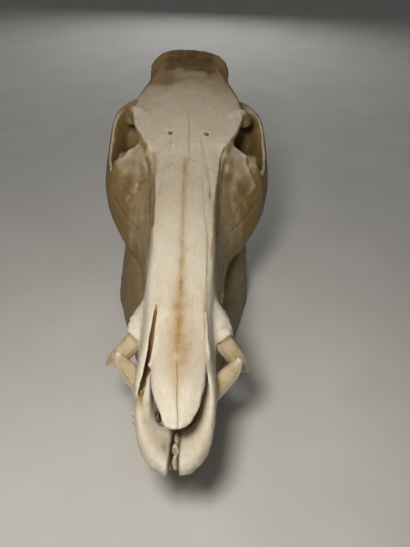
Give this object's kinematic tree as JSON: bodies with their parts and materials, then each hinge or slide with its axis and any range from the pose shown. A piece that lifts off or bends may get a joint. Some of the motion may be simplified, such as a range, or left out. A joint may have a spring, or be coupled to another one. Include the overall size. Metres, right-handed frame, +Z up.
{
  "type": "wild boar skull",
  "caption": "Skull of a wild boar with its lower jaw: long straight snout, domed arches beside the orbits, raised crest at the back and short curved tusks.",
  "frame": {"origin": "middle of the footprint, on the surface that the jaw stands on", "axes": "+Y from the snout's tip back to the crest, +X towards the animal's left side, +Z up"},
  "size_m": [0.1474, 0.3522, 0.2101],
  "materials": {
    "bone": "dry weathered bone, matt, cream with olive and brown stains",
    "tusk_ivory": "worn tooth enamel and dentine, satin"
  },
  "bodies": {
    "root": {"braincase": "bone", "maxilla": "bone", "mandible": "bone", "nasal_left": "bone", "nasal_right": "bone", "premaxilla_left": "bone", "premaxilla_right": "bone", "zygomatic_left": "bone", "zygomatic_right": "bone", "upper_canine_left": "tusk_ivory", "upper_canine_right": "tusk_ivory", "lower_canine_left": "tusk_ivory", "lower_canine_right": "tusk_ivory"}
  },
  "joints": []
}
